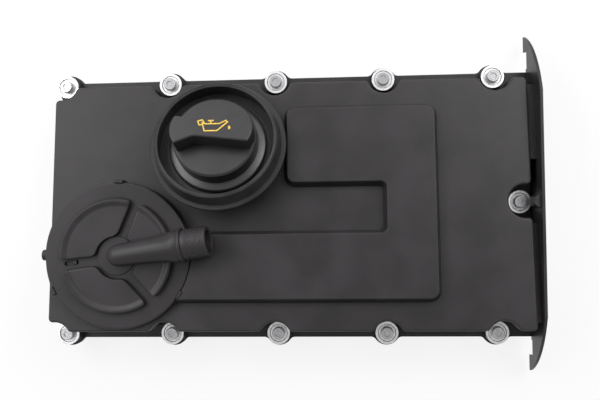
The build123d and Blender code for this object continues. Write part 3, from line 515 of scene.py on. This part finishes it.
def along_pipe():
    """Matrix that carries +Z to the pipe's direction, from the pipe's start."""
    level = math.cos(PIPE_RISE)
    way = Vector((level * math.cos(PIPE_ANGLE), level * math.sin(PIPE_ANGLE), math.sin(PIPE_RISE)))
    return Matrix.Translation(PIPE_START) @ way.to_track_quat("Z", "Y").to_matrix().to_4x4()


def on_cap():
    """Matrix of the filler's leaning axis, from the collar ring's plane."""
    return Matrix.Translation(NECK) @ Matrix.Rotation(-NECK_LEAN, 4, "X")


def revolve(bm, profile, place):
    """Adds a closed ring from (radius, height) points in millimetres about a matrix's Z."""
    rings = []
    for radius, height in profile:
        ring = []
        for step in range(ROUND_STEPS):
            turn = 2 * math.pi * step / ROUND_STEPS
            point = Vector((radius * MM * math.cos(turn), radius * MM * math.sin(turn), height * MM))
            ring.append(bm.verts.new(place @ point))
        rings.append(ring)
    for i, ring in enumerate(rings):
        bridge(bm, ring, rings[(i + 1) % len(rings)])


def pipe_end():
    """Skin of the pipe's end with its bead, and fine rings that grip the hose."""
    bm = bmesh.new()
    place = along_pipe()
    revolve(bm, PIPE_SKIN, place)
    for i in range(RIDGE_COUNT):
        level = RIDGE_FIRST + i * RIDGE_PITCH
        revolve(bm, [(radius, level + offset) for radius, offset in RIDGE_SECTION], place)
    obj = add_mesh("pipe_end", bm, MATERIALS["breather_cover"], "cover")
    smooth(obj, 40.0)


def flange_slope():
    """Sloped ring round the filler cap's foot, in a lighter copy of the cap's plastic that paints light on
    it.
    """
    bm = bmesh.new()
    revolve(bm, FLANGE_SLOPE, on_cap())
    obj = add_mesh("cap_flange_slope", bm, FLANGE_PAINTED_LIGHT_PLASTIC, "cap")
    smooth(obj, 20.0)


class Pad:
    """Raised pad of the lid between two straight sides, given anticlockwise."""

    def __init__(self, first, second):
        self.sides = [self.side(*first, 1.0), self.side(*second, -1.0)]
        self.turns = [math.atan2(a[1] + b[1], a[0] + b[0]) for a, b in (first, second)]
        if self.turns[1] < self.turns[0]:
            self.turns[1] += 2 * math.pi

    @staticmethod
    def side(start, end, sense):
        """Inward normal of a side and its distance from the axis."""
        way = (Vector(end) - Vector(start)).normalized()
        normal = Vector((-way.y, way.x)) * sense
        return normal, normal.dot(Vector(start))

    @staticmethod
    def point(turn, level, inset):
        """Point at an angle, on the row that lies a level out from the hub's edge."""
        way = Vector((math.cos(turn), math.sin(turn)))
        along = PAD_HUB.dot(way)
        hub = along + math.sqrt((PAD_HUB_R + inset) ** 2 - PAD_HUB.length_squared + along ** 2)
        span = PAD_R - PAD_HUB_R
        row = PAD_HUB_R + inset + level * (span - 2 * inset) / span
        fade = max(0.0, 1.0 - level / PAD_HUB_FADE)
        return way * (row + (hub - PAD_HUB_R - inset) * fade)

    def limit(self, which, level, inset):
        """Angle at which a row meets a side, with the corners rounded."""
        normal, offset = self.sides[which]
        corner = PAD_CORNER_R - inset
        near = max(0.0, min(level, PAD_R - PAD_HUB_R - level))
        cut = corner - math.sqrt(corner ** 2 - max(0.0, corner - near) ** 2)
        low, high = self.turns[which] - PAD_SEARCH, self.turns[which] + PAD_SEARCH
        for _ in range(PAD_HALVINGS):
            middle = (low + high) / 2
            inside = normal.dot(self.point(middle, level, inset)) - offset - inset - cut > 0
            if inside == (which == 0):
                high = middle
            else:
                low = middle
        return (low + high) / 2

    def rows(self, inset):
        """Grid of the pad's top, drawn in by an inset."""
        grid = []
        for level in PAD_ROWS:
            first, last = (self.limit(which, level, inset) for which in (0, 1))
            turns = [first + (last - first) * i / PAD_COLUMNS for i in range(PAD_COLUMNS + 1)]
            grid.append([self.point(turn, level, inset) for turn in turns])
        return grid

    @staticmethod
    def rim(grid):
        """Border of a grid, in order."""
        inner, outer = grid[0], grid[-1]
        last_side = [row[-1] for row in grid[:-1]]
        first_side = [row[0] for row in grid[:0:-1]]
        return inner[:-1] + last_side + outer[:0:-1] + first_side

    @staticmethod
    def top(spot):
        """Height of the top, with a soft bead along the outer edge."""
        up = min(max((spot.length - PAD_BAND_R) / (PAD_CREST_R - PAD_BAND_R), 0.0), 1.0)
        down = min(max((spot.length - PAD_CREST_R) / (PAD_R - PAD_CREST_R), 0.0), 1.0)
        return PAD_FLOOR + PAD_RISE * up * (2.0 - up) - PAD_FALL * down * down

    def build(self, bm):
        """Adds the pad to a bmesh: its top, rounded edge and walls."""
        def vert(spot, drop):
            height = LID_TOP if drop is None else self.top(spot) - drop * PAD_EDGE
            return bm.verts.new(Vector((spot.x, spot.y, height)) * MM + DRUM)

        grid = [[vert(spot, 0.0) for spot in row] for row in self.rows(PAD_EDGE)]
        for low, high in zip(grid, grid[1:]):
            for i in range(PAD_COLUMNS):
                bm.faces.new((low[i], low[i + 1], high[i + 1], high[i]))
        before = self.rim(grid)
        for inset, drop in PAD_EDGE_STEPS:
            ring = [vert(spot, drop) for spot in self.rim(self.rows(inset * PAD_EDGE))]
            bridge(bm, before, ring)
            before = ring
        bm.faces.new(before)


def lid_face(bm):
    """Adds the lid's level skin round the pads, open over the slot."""
    turns = sorted([float(turn) for turn in range(0, 360, LID_STEP)] + [SLOT_FROM, SLOT_TO])
    radii = (HUB_FACE_R, SLOT_IN, SLOT_OUT, LID_R)
    layers = []
    for height in (LID_TOP + LID_SKIN, LID_TOP - LID_SKIN):
        layer = {}
        for k, radius in enumerate(radii):
            for i, turn in enumerate(turns):
                a = math.radians(turn)
                spot = Vector((radius * math.cos(a), radius * math.sin(a), height))
                layer[k, i] = bm.verts.new(spot * MM + DRUM)
        layers.append(layer)
    border = {}
    for k in range(len(radii) - 1):
        for i, turn in enumerate(turns):
            if radii[k] == SLOT_IN and SLOT_FROM <= turn < SLOT_TO:
                continue
            j = (i + 1) % len(turns)
            cell = ((k, i), (k, j), (k + 1, j), (k + 1, i))
            for layer in layers:
                bm.faces.new([layer[corner] for corner in cell])
            for a, b in zip(cell, cell[1:] + cell[:1]):
                if (b, a) in border:
                    del border[b, a]
                else:
                    border[a, b] = True
    over, under = layers
    for a, b in border:
        bm.faces.new((over[a], over[b], under[b], under[a]))


def lid_pads():
    """Level face and four raised pads of the breather's lid."""
    bm = bmesh.new()
    lid_face(bm)
    for sides in PAD_SIDES:
        Pad(*sides).build(bm)
    obj = add_mesh("breather_pads", bm, MATERIALS["breather_cover"], "cover")
    smooth(obj, 28.0)


def regulator_coil():
    """Coil spring between the regulator's plate and the lid, shown in place of the part's own spring."""
    bm = bmesh.new()
    length = SPRING_HIGH - SPRING_LOW - 2 * SPRING_WIRE_R
    rings = []
    for step in range(SPRING_STEPS + 1):
        share = step / SPRING_STEPS
        turn = 2 * math.pi * SPRING_TURNS * share
        out = Vector((math.cos(turn), math.sin(turn), 0.0))
        centre = DRUM + out * SPRING_R + UP * (SPRING_LOW + SPRING_WIRE_R + length * share)
        angles = [2 * math.pi * side / SPRING_SIDES for side in range(SPRING_SIDES)]
        spots = [centre + (out * math.cos(a) + UP * math.sin(a)) * SPRING_WIRE_R for a in angles]
        rings.append([bm.verts.new(spot) for spot in spots])
    for ring, after in zip(rings, rings[1:]):
        bridge(bm, ring, after)
    bm.faces.new(rings[0])
    bm.faces.new(rings[-1])
    obj = add_mesh("regulator_coil", bm, MATERIALS["regulator_spring"], "cover")
    smooth(obj, 40.0)
    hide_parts("regulator_spring")
    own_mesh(obj)


def stroke(bm, points, closed, low, high, place):
    """Adds a sign's line with thickness along points, with mitred corners."""
    count = len(points)
    sides = []
    for i, point in enumerate(points):
        ways = []
        if closed or i:
            ways.append((point - points[i - 1]).normalized())
        if closed or i < count - 1:
            ways.append((points[(i + 1) % count] - point).normalized())
        across = [Vector((-w.y, w.x)) for w in ways]
        mitre = sum(across, Vector((0.0, 0.0))).normalized()
        reach = SIGN_LINE / 2 / max(mitre.dot(across[0]), MITRE_LEAST)
        sides.append((point + mitre * reach, point - mitre * reach))
    rows = []
    for left, right in sides:
        corners = ((left, low), (right, low), (right, high), (left, high))
        rows.append([bm.verts.new(place @ Vector((p.x, p.y, z))) for p, z in corners])
    for i in range(count if closed else count - 1):
        bridge(bm, rows[i], rows[(i + 1) % count])
    if not closed:
        bm.faces.new(rows[0])
        bm.faces.new(list(reversed(rows[-1])))


def sign_drop(bm, low, high, place):
    """Adds the sign's long drop."""
    rims = []
    for level in (low, high):
        rim = []
        for step in range(DROP_STEPS):
            turn = 2 * math.pi * step / DROP_STEPS
            x = DROP_AT.x + DROP_R * math.cos(turn)
            y = DROP_AT.y + DROP_STRETCH * DROP_R * math.sin(turn)
            rim.append(bm.verts.new(place @ Vector((x, y, level))))
        rims.append(rim)
    capped_band(bm, *rims)


def oil_can_sign():
    """Plain oil can sign: a can with a lid knob, a handle, a spout and one drop."""
    bm = bmesh.new()
    place = on_cap() @ Matrix.Translation(SIGN_AT)
    low = GRIP_TOP - SIGN_T
    high = GRIP_TOP + SIGN_T
    for points, closed in SIGN_LINES:
        stroke(bm, [Vector(point) * MM for point in points], closed, low, high, place)
    sign_drop(bm, low, high, place)
    add_mesh("oil_can_sign", bm, SIGN_PAINT, "cap")


def floor():
    """Plain white floor that keeps a soft shadow."""
    bpy.ops.mesh.primitive_plane_add(size=FLOOR_SIZE, location=(0.0, 0.0, FLOOR_Z))
    plane = bpy.context.object
    plane.name = "floor"
    s = Shader("floor_white")
    s.set(Base_Color=shade((FLOOR_TONE,) * 3), Roughness=0.9, Specular_IOR_Level=0.1)
    glow = s.add("ShaderNodeEmission", {"Color": (1.0, 1.0, 1.0, 1.0), "Strength": 1.0})
    share = s.calc("MULTIPLY", s.seen(), FLOOR_GLOW)
    both = s.add("ShaderNodeMixShader", {0: share, 1: s.surface.outputs[0], 2: glow.outputs[0]})
    s.feed(s.tree.nodes["Material Output"].inputs["Surface"], both.outputs[0])
    plane.data.materials.append(s.material)


def lights():
    """Soft rectangular lamps from above, stronger from the north, and the world."""
    for name, (place, size, power) in LAMPS.items():
        data = bpy.data.lights.new(name, "AREA")
        data.shape = "RECTANGLE"
        data.size, data.size_y = size
        data.energy = power
        lamp = bpy.data.objects.new(name, data)
        bpy.context.scene.collection.objects.link(lamp)
        lamp.location = place
        lamp.rotation_euler = (-Vector(place)).to_track_quat("-Z", "Y").to_euler()
    world = bpy.data.worlds.new("studio")
    bpy.context.scene.world = world
    world.use_nodes = True
    nodes = Nodes(world.node_tree)
    way = nodes.add("ShaderNodeTexCoord").outputs["Generated"]
    height = nodes.add("ShaderNodeSeparateXYZ", {"Vector": way}).outputs["Z"]
    rise = nodes.remap(height, 0.0, 1.0, WORLD_LOW, WORLD_HIGH)
    back = world.node_tree.nodes["Background"]
    nodes.feed(back.inputs["Color"], (1.0, 1.0, 1.0, 1.0))
    nodes.feed(back.inputs["Strength"], nodes.remap(nodes.seen(), 0.0, 1.0, rise, 1.0))


def camera():
    """Camera at the photo's viewing angle."""
    rx, ry, rz = (math.radians(a) for a in CAMERA_TURN)
    turn = Matrix.Rotation(rz, 3, "Z") @ Matrix.Rotation(ry, 3, "Y") @ Matrix.Rotation(rx, 3, "X")
    back = turn.transposed()
    data = bpy.data.cameras.new("camera")
    data.sensor_width = SENSOR
    data.lens = FOCAL
    data.clip_start = CAMERA_NEAR
    data.clip_end = CAMERA_FAR
    view = bpy.data.objects.new("camera", data)
    bpy.context.scene.collection.objects.link(view)
    place = back @ (UP * CAMERA_DISTANCE - CAMERA_SHIFT)
    view.matrix_world = Matrix.Translation(place) @ back.to_4x4()
    bpy.context.scene.camera = view


dress_nodes()
knurled_heads()
pipe_end()
lid_pads()
regulator_coil()
oil_can_sign()
flange_slope()
floor()
lights()
camera()
bpy.context.scene.view_settings.view_transform = "Standard"
